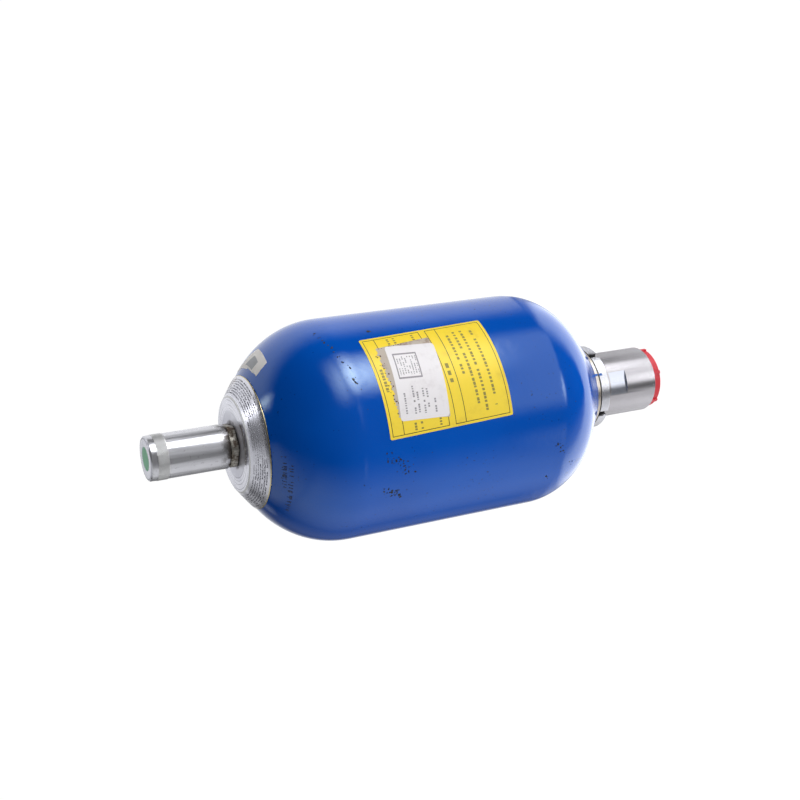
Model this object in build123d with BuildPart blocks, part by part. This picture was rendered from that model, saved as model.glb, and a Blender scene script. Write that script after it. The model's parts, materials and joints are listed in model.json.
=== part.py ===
from build123d import *
from math import asin, cos, degrees, radians, sin, tan
import os

# Bladder accumulator, standing on its oil port with the gas valve on top.
# Z = 0 is the outer face of the transport plug in the oil port. Millimetres.

# --- fits and small edges ---
thread_play = 0.05
slip_play = 0.25
running_play = 0.05
seat_play = 0.10
edge_break = 0.6

# --- forged pressure shell ---
shell_radius = 168.3 / 2
shell_wall = 8.0
shell_cylinder = 155.0
port_dome_radius = 55.0
port_cone_angle = 49.2
gas_dome_flattening = 7.15
gas_dome_sweep = 50.0
gas_neck_radius = 34.8
neck_bore_radius = 33.0
neck_wall = 6.2
neck_depth = 14.0
neck_rim_round = 3.0
gas_boss_depth = 12.0

# --- oil port body ---
port_length = 66.0
port_radius = 26.7
port_thread_radius = 27.5
port_flange_radius = 32.0
port_flange_height = 6.0
port_pipe_radius = 19.476
port_pipe_depth = 24.0
port_chamber_radius = 18.0
port_chamber_depth = 22.0
port_end_chamfer = 1.2
flats_across = 50.0
flats_height = 16.0
flats_to_nut = 6.0
thread_overrun = 1.0
flats_turn = -20.6
web_height = 8.0
flow_hole_count = 6
flow_hole_radius = 3.9
flow_hole_circle = 13.2
hub_radius = 8.5
hub_rise = 8.0
seat_height = 8.0
seat_rise = 4.0

# --- seals and rings in the neck ---
nut_height = 9.0
nut_radius = 34.0
nut_slots = 4
nut_slot_width = 5.2
nut_slot_depth = 4.0
nut_slot_turn = -63.0
spacer_height = 6.0
spacer_radius = 34.6
spacer_spigot = 4.0
support_height = 1.5
washer_height = 2.5
split_ring_height = 6.0
split_ring_radius = 41.0
split_gap = 1.2

# --- poppet valve ---
poppet_stroke = 9.0
poppet_stem_radius = 5.0
poppet_head_height = 9.5
poppet_head_edge = 1.2
stem_tail_radius = 4.0
stem_tail_length = 12.0
sleeve_radius = 8.0
sleeve_height = 5.0
stem_nut_flats = 13.0
stem_nut_height = 5.0
spring_wire = 1.8
spring_turns = 6

# --- gas valve, bladder and cap ---
stem_radius = 11.0
stem_flange_radius = 20.0
stem_flange_height = 6.0
stem_top = 32.0
stem_bore_radius = 4.0
stem_socket_radius = 7.0
stem_socket_depth = 18.0
plate_thickness = 1.0
plate_rim_radius = 49.3
gas_nut_flats = 30.0
gas_nut_height = 6.2
gas_nut_corner_radius = 16.6
cap_radius = 16.52
cap_length = 58.9
cap_end_wall = 8.0
cap_edge = 1.0
knurl_band_length = 8.1
knurl_band_offset = 5.1
knurl_band_rise = 0.15
disc_radius = 8.8
disc_thickness = 0.6
valve_hex_flats = 17.0
valve_hex_height = 6.0
valve_neck_radius = 5.2
valve_neck_length = 12.0
valve_bore_radius = 2.6
valve_socket_engage = 14.0
seal_cap_radius = 7.5
seal_cap_top = 2.0
seal_cap_gap = 1.0
face_ring_wire = 1.4
core_length = 10.0
core_guide_length = 4.0
core_pocket_radius = 2.1
core_pin_radius = 0.95
core_pin_stroke = 1.2
core_collar_radius = 1.7
core_collar_height = 1.0
core_pin_rise = 1.0
core_seal_radius = 1.9
core_seal_height = 1.5
core_wire = 0.45
core_turns = 5
bladder_radius = 62.0
bladder_wall = 2.5
bladder_length = 215.0
bladder_neck_radius = 24.0

# --- transport plug ---
plug_flange_radius = 24.3
plug_flange_height = 6.4
plug_depth = 16.0
plug_wall = 2.5
plug_lugs = 6
plug_lug_width = 2.6
plug_lug_reach = 1.3
plug_lug_turn = -103.0

# --- heights along the axis ---
port_face = plug_flange_height
neck_face = port_face + port_length
neck_shoulder = neck_face + neck_depth
cone = radians(port_cone_angle)
neck_radius = neck_bore_radius + neck_wall
cone_width = shell_radius - port_dome_radius * (1 - cos(cone)) - neck_radius
cylinder_bottom = neck_face + cone_width / tan(cone) + port_dome_radius * sin(cone)
cylinder_top = cylinder_bottom + shell_cylinder
gas_dome_height = shell_radius - gas_dome_flattening
gas_sweep = radians(gas_dome_sweep)
gas_slope = shell_radius * sin(gas_sweep) / (gas_dome_height * cos(gas_sweep))
dome_end = (shell_radius * cos(gas_sweep), cylinder_top + gas_dome_height * sin(gas_sweep))
gas_face = dome_end[1] + (dome_end[0] - gas_neck_radius) / gas_slope
gas_seat = gas_face - gas_boss_depth
nut_bottom = neck_face - spacer_height - nut_height
flange_under = neck_shoulder + split_ring_height
port_top = flange_under + port_flange_height
chamber_bottom = port_face + port_pipe_depth
web_bottom = chamber_bottom + port_chamber_depth
web_top = web_bottom + web_height
hub_top = web_top + hub_rise
seat_bottom = port_top - seat_height
plate_top = gas_face + plate_thickness
cap_bottom = plate_top + gas_nut_height
cap_top = cap_bottom + cap_length
stem_end = plate_top + stem_top


def outline(*points):
    """Closed flat outline through (radius, height) points in the upright plane."""
    with BuildSketch(Plane.XZ) as flat:
        with BuildLine():
            Polyline(*points, close=True)
        make_face()
    return flat.sketch


def band(inner, outer, bottom, top):
    """Rectangular section of a ring between two radii and two heights."""
    return outline((inner, bottom), (outer, bottom), (outer, top), (inner, top))


def coil(wire, mean_radius, bottom, top, turns):
    """Compression spring whose end turns touch the two heights; the wire is eight-sided."""
    pitch = (top - bottom - wire) / turns
    path = Helix(pitch, pitch * turns, mean_radius, center=(0, 0, bottom + wire / 2))
    with BuildPart() as spring:
        with BuildSketch(Plane(origin=path @ 0, x_dir=(1, 0, 0), z_dir=path % 0)):
            RegularPolygon(wire / 2, 8, major_radius=True)
        sweep(path=path, is_frenet=True)
    return spring


def write(piece, name):
    piece.part.label = name
    export_step(piece.part, f"parts/{name}.step")


os.makedirs("parts", exist_ok=True)

# --- pressure shell: one forging, spun in at both ends ---
knuckle_centre = (shell_radius - port_dome_radius, cylinder_bottom)
knuckle_low = (
    knuckle_centre[0] + port_dome_radius * cos(cone),
    cylinder_bottom - port_dome_radius * sin(cone),
)
inner_knuckle_radius = port_dome_radius - shell_wall
inner_knuckle_low = (
    knuckle_centre[0] + inner_knuckle_radius * cos(cone),
    cylinder_bottom - inner_knuckle_radius * sin(cone),
)
shoulder_radius = inner_knuckle_low[0] - (inner_knuckle_low[1] - neck_shoulder) * tan(cone)
inner_radius = shell_radius - shell_wall
inner_dome_height = gas_dome_height - shell_wall
seat_sweep = asin((gas_seat - cylinder_top) / inner_dome_height)
seat_radius = inner_radius * cos(seat_sweep)
gas_bore_radius = stem_radius + slip_play

with BuildPart() as shell:
    with BuildSketch(Plane.XZ):
        with BuildLine():
            Polyline((neck_bore_radius, neck_face), (neck_radius, neck_face), knuckle_low)
            CenterArc(knuckle_centre, port_dome_radius, -port_cone_angle, port_cone_angle)
            Line((shell_radius, cylinder_bottom), (shell_radius, cylinder_top))
            EllipticalCenterArc(
                (0, cylinder_top), shell_radius, gas_dome_height, arc_size=gas_dome_sweep
            )
            Polyline(
                dome_end,
                (gas_neck_radius, gas_face),
                (gas_bore_radius, gas_face),
                (gas_bore_radius, gas_seat),
                (seat_radius, gas_seat),
            )
            EllipticalCenterArc(
                (0, cylinder_top), inner_radius, inner_dome_height, arc_size=degrees(seat_sweep)
            )
            Line((inner_radius, cylinder_top), (inner_radius, cylinder_bottom))
            CenterArc(knuckle_centre, inner_knuckle_radius, -port_cone_angle, port_cone_angle)
            Polyline(
                inner_knuckle_low,
                (shoulder_radius, neck_shoulder),
                (neck_bore_radius, neck_shoulder),
                (neck_bore_radius, neck_face),
            )
        make_face()
    revolve(axis=Axis.Z)
    neck_circles = shell.edges().filter_by(GeomType.CIRCLE).group_by(Axis.Z)[0]
    fillet(neck_circles.sort_by(SortBy.RADIUS)[-1], neck_rim_round)
write(shell, "pressure_shell")

# --- oil port body: threaded socket, guide web with flow holes, valve seat ---
seat_mouth_radius = port_chamber_radius + seat_rise
with BuildPart() as port_body:
    revolve(
        outline(
            (port_pipe_radius, port_face),
            (port_radius, port_face),
            (port_radius, nut_bottom - thread_overrun),
            (port_thread_radius, nut_bottom - thread_overrun),
            (port_thread_radius, flange_under),
            (port_flange_radius, flange_under),
            (port_flange_radius, port_top),
            (seat_mouth_radius, port_top),
            (port_chamber_radius, seat_bottom),
            (port_chamber_radius, web_top),
            (hub_radius, web_top),
            (hub_radius, hub_top),
            (poppet_stem_radius + running_play, hub_top),
            (poppet_stem_radius + running_play, web_bottom),
            (port_chamber_radius, web_bottom),
            (port_chamber_radius, chamber_bottom),
            (port_pipe_radius, chamber_bottom),
        ),
        axis=Axis.Z,
    )
    with BuildSketch(Plane.XY.offset(web_bottom)):
        with PolarLocations(flow_hole_circle, flow_hole_count):
            Circle(flow_hole_radius)
    extrude(amount=web_height, mode=Mode.SUBTRACT)
    with BuildSketch(Plane.XY.offset(nut_bottom - flats_to_nut - flats_height)):
        Circle(port_radius + edge_break)
        Rectangle(3 * port_radius, flats_across, rotation=flats_turn, mode=Mode.SUBTRACT)
    extrude(amount=flats_height, mode=Mode.SUBTRACT)
    face_circles = port_body.edges().filter_by(GeomType.CIRCLE).group_by(Axis.Z)[0]
    chamfer(face_circles.sort_by(SortBy.RADIUS)[-1], port_end_chamfer)
write(port_body, "oil_port_body")

# --- slotted lock nut ---
with BuildPart() as lock_nut:
    revolve(
        band(port_thread_radius + thread_play, nut_radius, nut_bottom, nut_bottom + nut_height),
        axis=Axis.Z,
    )
    chamfer(lock_nut.edges().filter_by(GeomType.CIRCLE), edge_break)
    with BuildSketch(Plane.XY.offset(nut_bottom)):
        with PolarLocations(nut_radius, nut_slots, start_angle=nut_slot_turn):
            Rectangle(2 * nut_slot_depth, nut_slot_width)
    extrude(amount=nut_height, mode=Mode.SUBTRACT)
write(lock_nut, "slotted_lock_nut")

# --- spacer ring with a spigot in the neck ---
ring_bore = port_thread_radius + slip_play
neck_fit = neck_bore_radius - slip_play
spacer_bottom = neck_face - spacer_height
spigot_top = neck_face + spacer_spigot
with BuildPart() as spacer:
    revolve(
        outline(
            (ring_bore, spacer_bottom),
            (spacer_radius - edge_break, spacer_bottom),
            (spacer_radius, spacer_bottom + edge_break),
            (spacer_radius, neck_face),
            (neck_fit, neck_face),
            (neck_fit, spigot_top),
            (ring_bore, spigot_top),
        ),
        axis=Axis.Z,
    )
write(spacer, "spacer_ring")

# --- support ring, O-ring and washer above the spigot ---
support_top = spigot_top + support_height
with BuildPart() as support_ring:
    revolve(band(ring_bore, neck_fit, spigot_top, support_top), axis=Axis.Z)
write(support_ring, "support_ring")

washer_bottom = neck_shoulder - washer_height
seal_wire = neck_bore_radius - port_thread_radius
with BuildPart() as port_seal:
    with BuildSketch(Plane.XZ):
        with Locations((port_thread_radius + seal_wire / 2, (support_top + washer_bottom) / 2)):
            Ellipse(seal_wire / 2 - thread_play, (washer_bottom - support_top) / 2)
    revolve(axis=Axis.Z)
write(port_seal, "port_o_ring")

with BuildPart() as washer:
    revolve(band(ring_bore, neck_fit, washer_bottom, neck_shoulder), axis=Axis.Z)
write(washer, "seal_washer")

# --- anti-extrusion ring, slit so that it folds through the neck ---
with BuildPart() as split_ring:
    revolve(band(ring_bore, split_ring_radius, neck_shoulder, flange_under), axis=Axis.Z)
    with BuildSketch(Plane.XY.offset(neck_shoulder)):
        with Locations((0, split_ring_radius)):
            Rectangle(split_gap, 2 * (split_ring_radius - port_thread_radius + slip_play))
    extrude(amount=split_ring_height, mode=Mode.SUBTRACT)
write(split_ring, "anti_extrusion_ring")

# --- poppet, drawn open on its stop ---
head_bottom = seat_bottom + seat_play + poppet_stroke
head_radius = seat_mouth_radius - seat_play
head_rim = head_bottom + seat_height
head_top = head_bottom + poppet_head_height
tail_top = web_bottom - sleeve_height - stem_nut_height
tail_bottom = web_bottom - stem_tail_length
with BuildPart() as poppet:
    revolve(
        outline(
            (0, tail_bottom),
            (stem_tail_radius, tail_bottom),
            (stem_tail_radius, web_bottom),
            (poppet_stem_radius, web_bottom),
            (poppet_stem_radius, head_bottom),
            (port_chamber_radius - seat_play, head_bottom),
            (head_radius, head_rim),
            (head_radius, head_top),
            (0, head_top),
        ),
        axis=Axis.Z,
    )
    fillet(poppet.edges().group_by(Axis.Z)[-1], poppet_head_edge)
write(poppet, "poppet_valve")

with BuildPart() as damping_sleeve:
    revolve(
        band(stem_tail_radius + thread_play, sleeve_radius, web_bottom - sleeve_height, web_bottom),
        axis=Axis.Z,
    )
write(damping_sleeve, "damping_sleeve")

with BuildPart() as stem_nut:
    with BuildSketch(Plane.XY.offset(tail_top)):
        RegularPolygon(stem_nut_flats / 2, 6, major_radius=False)
        Circle(stem_tail_radius + thread_play, mode=Mode.SUBTRACT)
    extrude(amount=stem_nut_height)
write(stem_nut, "poppet_stem_nut")

spring_radius = (poppet_stem_radius + hub_radius) / 2
poppet_spring = coil(spring_wire, spring_radius, hub_top, head_bottom, spring_turns)
write(poppet_spring, "poppet_spring")

# --- gas valve stem, moulded into the top of the bladder ---
flange_bottom = gas_seat - bladder_wall - stem_flange_height
socket_bottom = stem_end - stem_socket_depth
with BuildPart() as gas_stem:
    revolve(
        outline(
            (stem_bore_radius, flange_bottom),
            (stem_flange_radius, flange_bottom),
            (stem_flange_radius, flange_bottom + stem_flange_height),
            (stem_radius, flange_bottom + stem_flange_height),
            (stem_radius, stem_end),
            (stem_socket_radius, stem_end),
            (stem_socket_radius, socket_bottom),
            (stem_bore_radius, socket_bottom),
        ),
        axis=Axis.Z,
    )
    chamfer(gas_stem.edges().group_by(Axis.Z)[-1].sort_by(SortBy.RADIUS)[-1], edge_break)
write(gas_stem, "gas_valve_stem")

# --- bladder: one moulded bag gripping the stem flange ---
bag_top = gas_seat
bag_bottom = bag_top - bladder_length
bag_inner = bladder_radius - bladder_wall
neck_height = stem_flange_height + 2 * bladder_wall
mouth_radius = stem_flange_radius - bladder_wall
shoulder_height = bag_top - neck_height
with BuildPart() as bladder:
    with BuildSketch(Plane.XZ):
        with BuildLine():
            Line((0, bag_bottom), (0, bag_bottom + bladder_wall))
            CenterArc((0, bag_bottom + bladder_radius), bag_inner, -90, 90)
            Line(
                (bag_inner, bag_bottom + bladder_radius),
                (bag_inner, shoulder_height - bladder_radius + bladder_neck_radius),
            )
            CenterArc(
                (bladder_neck_radius, shoulder_height - bladder_radius + bladder_neck_radius),
                bag_inner - bladder_neck_radius,
                0,
                90,
            )
            Polyline(
                (bladder_neck_radius, shoulder_height - bladder_wall),
                (mouth_radius, shoulder_height - bladder_wall),
                (mouth_radius, flange_bottom),
                (stem_flange_radius, flange_bottom),
                (stem_flange_radius, gas_seat - bladder_wall),
                (stem_radius + thread_play, gas_seat - bladder_wall),
                (stem_radius + thread_play, gas_seat),
                (bladder_neck_radius, gas_seat),
                (bladder_neck_radius, shoulder_height),
            )
            CenterArc(
                (bladder_neck_radius, shoulder_height - bladder_radius + bladder_neck_radius),
                bladder_radius - bladder_neck_radius,
                0,
                90,
            )
            Line(
                (bladder_radius, shoulder_height - bladder_radius + bladder_neck_radius),
                (bladder_radius, bag_bottom + bladder_radius),
            )
            CenterArc((0, bag_bottom + bladder_radius), bladder_radius, -90, 90)
        make_face()
    revolve(axis=Axis.Z)
write(bladder, "bladder")

# --- pressed name plate: flat centre and a skirt lying on the shell's cone ---
plate_drop = (plate_rim_radius - gas_neck_radius) / gas_slope
skirt_angle = asin(1 / (1 + gas_slope**2) ** 0.5)
skirt_shift = plate_thickness * tan(skirt_angle / 2)
with BuildPart() as name_plate:
    revolve(
        outline(
            (stem_radius + slip_play, gas_face),
            (gas_neck_radius, gas_face),
            (plate_rim_radius, gas_face - plate_drop),
            (
                plate_rim_radius + plate_thickness * sin(skirt_angle),
                gas_face - plate_drop + plate_thickness * cos(skirt_angle),
            ),
            (gas_neck_radius + skirt_shift, plate_top),
            (stem_radius + slip_play, plate_top),
        ),
        axis=Axis.Z,
    )
write(name_plate, "name_plate")

# --- hexagon lock nut on the stem ---
with BuildPart() as gas_nut:
    with BuildSketch(Plane.XY.offset(plate_top)):
        RegularPolygon(gas_nut_flats / 2, 6, major_radius=False)
        Circle(gas_nut_corner_radius, mode=Mode.INTERSECT)
        Circle(stem_radius + thread_play, mode=Mode.SUBTRACT)
    extrude(amount=gas_nut_height)
write(gas_nut, "gas_stem_nut")

# --- protection cap with a knurled grip band and a recess for the colour disc ---
cap_bore_radius = stem_radius + thread_play
cap_cavity_top = cap_top - cap_end_wall
knurl_top = cap_top - knurl_band_offset
knurl_bottom = knurl_top - knurl_band_length
with BuildPart() as cap:
    revolve(
        outline(
            (cap_bore_radius, cap_bottom),
            (cap_radius - cap_edge, cap_bottom),
            (cap_radius, cap_bottom + cap_edge),
            (cap_radius, knurl_bottom),
            (cap_radius + knurl_band_rise, knurl_bottom),
            (cap_radius + knurl_band_rise, knurl_top),
            (cap_radius, knurl_top),
            (cap_radius, cap_top - cap_edge),
            (cap_radius - cap_edge, cap_top),
            (disc_radius, cap_top),
            (disc_radius, cap_top - disc_thickness),
            (0, cap_top - disc_thickness),
            (0, cap_cavity_top),
            (cap_bore_radius, cap_cavity_top),
        ),
        axis=Axis.Z,
    )
write(cap, "valve_protection_cap")

with BuildPart() as disc:
    with BuildSketch(Plane.XY.offset(cap_top - disc_thickness)):
        Circle(disc_radius - thread_play)
    extrude(amount=disc_thickness)
write(disc, "cap_colour_disc")

# --- gas valve insert screwed into the stem ---
valve_hex_bottom = stem_end + face_ring_wire
valve_hex_top = valve_hex_bottom + valve_hex_height
neck_top = valve_hex_top + valve_neck_length
insert_radius = stem_socket_radius - thread_play
insert_bottom = valve_hex_bottom - valve_socket_engage
core_bottom = neck_top - core_length
with BuildPart() as gas_valve:
    revolve(band(valve_bore_radius, insert_radius, insert_bottom, valve_hex_bottom), axis=Axis.Z)
    with BuildSketch(Plane.XY.offset(valve_hex_bottom)):
        RegularPolygon(valve_hex_flats / 2, 6, major_radius=False)
        Circle(valve_bore_radius, mode=Mode.SUBTRACT)
    extrude(amount=valve_hex_height)
    revolve(band(valve_bore_radius, valve_neck_radius, valve_hex_top, neck_top), axis=Axis.Z)
write(gas_valve, "gas_valve_insert")

with BuildPart() as face_ring:
    with BuildSketch(Plane.XZ):
        with Locations((stem_socket_radius + face_ring_wire / 2, stem_end + face_ring_wire / 2)):
            Circle(face_ring_wire / 2)
    revolve(axis=Axis.Z)
write(face_ring, "gas_valve_o_ring")

seal_cap_bore = valve_neck_radius + thread_play
seal_cap_end = neck_top + core_pin_rise + seal_cap_gap
with BuildPart() as seal_cap:
    revolve(
        outline(
            (seal_cap_bore, valve_hex_top),
            (seal_cap_radius, valve_hex_top),
            (seal_cap_radius, seal_cap_end + seal_cap_top),
            (0, seal_cap_end + seal_cap_top),
            (0, seal_cap_end),
            (seal_cap_bore, seal_cap_end),
        ),
        axis=Axis.Z,
    )
    chamfer(seal_cap.edges().group_by(Axis.Z)[-1], edge_break)
write(seal_cap, "valve_seal_cap")

# --- valve core: guide, sprung pin with its seal ---
core_radius = valve_bore_radius - thread_play
guide_top = core_bottom + core_guide_length
with BuildPart() as core_guide:
    revolve(
        outline(
            (core_pin_radius + running_play, core_bottom),
            (core_radius, core_bottom),
            (core_radius, neck_top),
            (core_pocket_radius, neck_top),
            (core_pocket_radius, guide_top),
            (core_pin_radius + running_play, guide_top),
        ),
        axis=Axis.Z,
    )
write(core_guide, "valve_core_guide")

pin_top = neck_top + core_pin_rise
collar_top = neck_top - core_collar_height
collar_bottom = collar_top - core_collar_height
seal_top = core_bottom - seat_play
with BuildPart() as core_pin:
    revolve(
        outline(
            (0, seal_top - core_seal_height),
            (core_seal_radius, seal_top - core_seal_height),
            (core_seal_radius, seal_top),
            (core_pin_radius, seal_top),
            (core_pin_radius, collar_bottom),
            (core_collar_radius, collar_bottom),
            (core_collar_radius, collar_top),
            (core_pin_radius, collar_top),
            (core_pin_radius, pin_top),
            (0, pin_top),
        ),
        axis=Axis.Z,
    )
write(core_pin, "valve_core_pin")

core_spring_radius = (core_pin_radius + core_pocket_radius) / 2
core_spring = coil(core_wire, core_spring_radius, guide_top, collar_bottom, core_turns)
write(core_spring, "valve_core_spring")

# --- transport plug: closed flange, hollow skirt in the socket, six small lugs ---
plug_radius = port_pipe_radius - slip_play
plug_inner = plug_radius - plug_wall
with BuildPart() as plug:
    revolve(
        outline(
            (0, 0),
            (plug_flange_radius - edge_break, 0),
            (plug_flange_radius, edge_break),
            (plug_flange_radius, port_face),
            (plug_radius, port_face),
            (plug_radius, port_face + plug_depth),
            (plug_inner, port_face + plug_depth),
            (plug_inner, plug_wall),
            (0, plug_wall),
        ),
        axis=Axis.Z,
    )
    with BuildSketch(Plane.XY.offset(edge_break)):
        with PolarLocations(plug_flange_radius, plug_lugs, start_angle=plug_lug_turn):
            Rectangle(2 * plug_lug_reach, plug_lug_width)
    extrude(amount=port_face - edge_break)
write(plug, "transport_plug")
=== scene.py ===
"""Looks for the bladder accumulator: finishes, stickers, grip knurl, wear, light and camera."""

import json
import math
import random

import bpy
from mathutils import Matrix, Vector

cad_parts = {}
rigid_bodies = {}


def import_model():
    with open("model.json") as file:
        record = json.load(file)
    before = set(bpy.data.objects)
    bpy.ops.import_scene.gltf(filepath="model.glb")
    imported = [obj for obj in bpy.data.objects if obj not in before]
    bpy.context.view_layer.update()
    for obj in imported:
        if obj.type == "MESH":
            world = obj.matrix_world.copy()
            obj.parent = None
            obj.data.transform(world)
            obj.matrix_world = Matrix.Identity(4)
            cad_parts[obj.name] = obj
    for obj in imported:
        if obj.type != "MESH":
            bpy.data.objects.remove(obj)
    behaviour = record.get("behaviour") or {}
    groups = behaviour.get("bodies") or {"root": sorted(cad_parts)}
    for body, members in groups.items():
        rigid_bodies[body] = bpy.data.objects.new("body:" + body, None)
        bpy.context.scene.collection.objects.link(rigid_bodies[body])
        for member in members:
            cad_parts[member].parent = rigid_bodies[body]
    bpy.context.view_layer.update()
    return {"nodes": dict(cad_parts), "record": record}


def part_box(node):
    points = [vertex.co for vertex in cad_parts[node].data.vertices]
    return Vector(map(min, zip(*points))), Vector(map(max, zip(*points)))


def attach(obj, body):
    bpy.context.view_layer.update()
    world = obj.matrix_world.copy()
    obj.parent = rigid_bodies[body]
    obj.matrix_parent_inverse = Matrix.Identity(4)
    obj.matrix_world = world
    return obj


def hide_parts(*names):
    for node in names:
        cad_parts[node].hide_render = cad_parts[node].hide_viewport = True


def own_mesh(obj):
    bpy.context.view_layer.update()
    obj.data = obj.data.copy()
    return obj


MM = 0.001
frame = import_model()
nodes = frame["nodes"]

# --- sizes read from the frame ---
shell_low, shell_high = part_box("pressure_shell")
R = shell_high.x
cap_low, cap_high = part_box("valve_protection_cap")
plate_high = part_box("name_plate")[1]
nut_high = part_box("slotted_lock_nut")[1]
spacer_low, spacer_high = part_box("spacer_ring")
GAS_NUT_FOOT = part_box("gas_stem_nut")[0].z
PORT_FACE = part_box("oil_port_body")[0].z

# --- the direction the camera sees the part from, about the part's axis ---
FACING = math.radians(-108.6)


def turn(psi):
    """Angle about +Z, in radians, of a place psi degrees round from the facing side."""
    return FACING + math.radians(psi)


def height(z_mm):
    """Height above the floor, in metres, of a place z_mm above the port's end face."""
    return PORT_FACE + z_mm * MM


# ---------------------------------------- node helper
class Nodes:
    """A node tree with short calls for the nodes used here."""

    def __init__(self, tree):
        self.tree = tree
        tree.nodes.clear()

    def add(self, kind, **values):
        node = self.tree.nodes.new(kind)
        for key, value in values.items():
            setattr(node, key, value)
        return node

    def put(self, socket, value):
        """Links a socket, or sets a plain value; None leaves the socket as it is."""
        if isinstance(value, bpy.types.NodeSocket):
            self.tree.links.new(value, socket)
        elif value is not None:
            socket.default_value = value

    def math(self, operation, a, b=0.0, c=None, clamp=False):
        node = self.add("ShaderNodeMath", operation=operation, use_clamp=clamp)
        self.put(node.inputs[0], a)
        self.put(node.inputs[1], b)
        self.put(node.inputs[2], c)
        return node.outputs[0]

    def off(self, value, centre):
        """Distance of a value from a centre."""
        return self.math("ABSOLUTE", self.math("SUBTRACT", value, centre))

    def between(self, value, low, high):
        """0 at low, 1 at high, smooth between; low may be the greater of the two."""
        node = self.add("ShaderNodeMapRange", interpolation_type="SMOOTHSTEP")
        self.put(node.inputs["Value"], value)
        node.inputs["From Min"].default_value = low
        node.inputs["From Max"].default_value = high
        return node.outputs["Result"]

    def mix(self, factor, a, b):
        node = self.add("ShaderNodeMix", data_type="RGBA")
        self.put(node.inputs["Factor"], factor)
        self.put(node.inputs["A"], a)
        self.put(node.inputs["B"], b)
        return node.outputs["Result"]

    def vector(self, x, y, z=None):
        node = self.add("ShaderNodeCombineXYZ")
        for socket, value in zip(node.inputs, (x, y, z)):
            self.put(socket, value)
        return node.outputs[0]

    def split(self, vector):
        node = self.add("ShaderNodeSeparateXYZ")
        self.put(node.inputs[0], vector)
        return node.outputs


class Shader(Nodes):
    """A material's node tree, in the part's own coordinates."""

    def __init__(self, name):
        self.material = bpy.data.materials.new(name)
        self.material.use_nodes = True
        super().__init__(self.material.node_tree)
        self.out = self.add("ShaderNodeOutputMaterial")
        self.coords = self.add("ShaderNodeTexCoord").outputs["Object"]

    def noise(self, scale, detail=4.0, roughness=0.55, vector=None):
        node = self.add("ShaderNodeTexNoise")
        self.put(node.inputs["Vector"], vector or self.coords)
        node.inputs["Scale"].default_value = scale
        node.inputs["Detail"].default_value = detail
        node.inputs["Roughness"].default_value = roughness
        return node.outputs["Fac"]

    def stretch(self, scale):
        node = self.add("ShaderNodeMapping")
        self.put(node.inputs["Vector"], self.coords)
        node.inputs["Scale"].default_value = scale
        return node.outputs["Vector"]

    def cylinder(self):
        """Radius, angle and height about the part's axis."""
        x, y, z = self.split(self.coords)
        squares = self.math("ADD", self.math("MULTIPLY", x, x), self.math("MULTIPLY", y, y))
        return self.math("SQRT", squares), self.math("ARCTAN2", y, x), z

    def lathe_lines(self, scale, across, angle, run, detail=3.0, roughness=0.7):
        """Noise that is fine across the cut and drawn out round the axis."""
        vector = self.vector(across, self.math("MULTIPLY", angle, run))
        return self.noise(scale, detail, roughness, vector)

    def bump(self, value, strength, distance, normal=None):
        node = self.add("ShaderNodeBump")
        self.put(node.inputs["Height"], value)
        node.inputs["Strength"].default_value = strength
        node.inputs["Distance"].default_value = distance
        self.put(node.inputs["Normal"], normal)
        return node.outputs["Normal"]

    def surface(self, colour, roughness, metallic=0.0, normal=None, **fixed):
        node = self.add("ShaderNodeBsdfPrincipled")
        self.put(node.inputs["Base Color"], colour)
        self.put(node.inputs["Roughness"], roughness)
        self.put(node.inputs["Metallic"], metallic)
        self.put(node.inputs["Normal"], normal)
        for key, value in fixed.items():
            node.inputs[key.replace("_", " ")].default_value = value
        self.tree.links.new(node.outputs[0], self.out.inputs["Surface"])
        return self.material


def rgb(r, g, b):
    """Linear colour from display values 0 to 255."""

    def linear(value):
        return ((value / 255 + 0.055) / 1.055) ** 2.4 if value > 10 else value / 255 / 12.92

    return (linear(r), linear(g), linear(b), 1.0)


def shade(colour, share):
    """A darker tone of a colour."""
    return tuple(c * share for c in colour[:3]) + (1.0,)


# ---------------------------------------- finishes
def blue_paint():
    """Royal blue gloss enamel with slight orange peel, fine specks and rubbed dirt."""
    s = Shader("blue_paint")
    peel = s.noise(260.0, 2.0)
    waves = s.noise(42.0, 2.0)
    colour = s.mix(s.between(s.noise(9.0, 3.0), 0.35, 0.7), rgb(0, 78, 178), rgb(0, 86, 190))
    specks = s.between(s.noise(560.0, 1.0), 0.72, 0.75)
    patchy = s.between(s.noise(14.0, 3.0, 0.7), 0.50, 0.60)
    streaks = s.between(s.noise(60.0, 5.0, 0.75, s.stretch((1.0, 1.0, 0.35))), 0.64, 0.70)
    scuffs = s.math("MULTIPLY", streaks, s.between(s.noise(11.0, 2.0), 0.54, 0.62))
    marks = s.math("MAXIMUM", s.math("MULTIPLY", specks, patchy), s.math("MULTIPLY", scuffs, 0.45))
    colour = s.mix(marks, colour, rgb(10, 30, 66))
    rough = s.math("ADD", 0.08, s.math("MULTIPLY", s.math("ADD", marks, s.noise(25.0, 4.0)), 0.05))
    normal = s.bump(peel, 0.14, 0.0003, s.bump(waves, 0.16, 0.0008))
    return s.surface(colour, rough, 0.0, normal, IOR=1.58, Specular_Tint=(0.80, 1.0, 1.0, 1.0))


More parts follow.
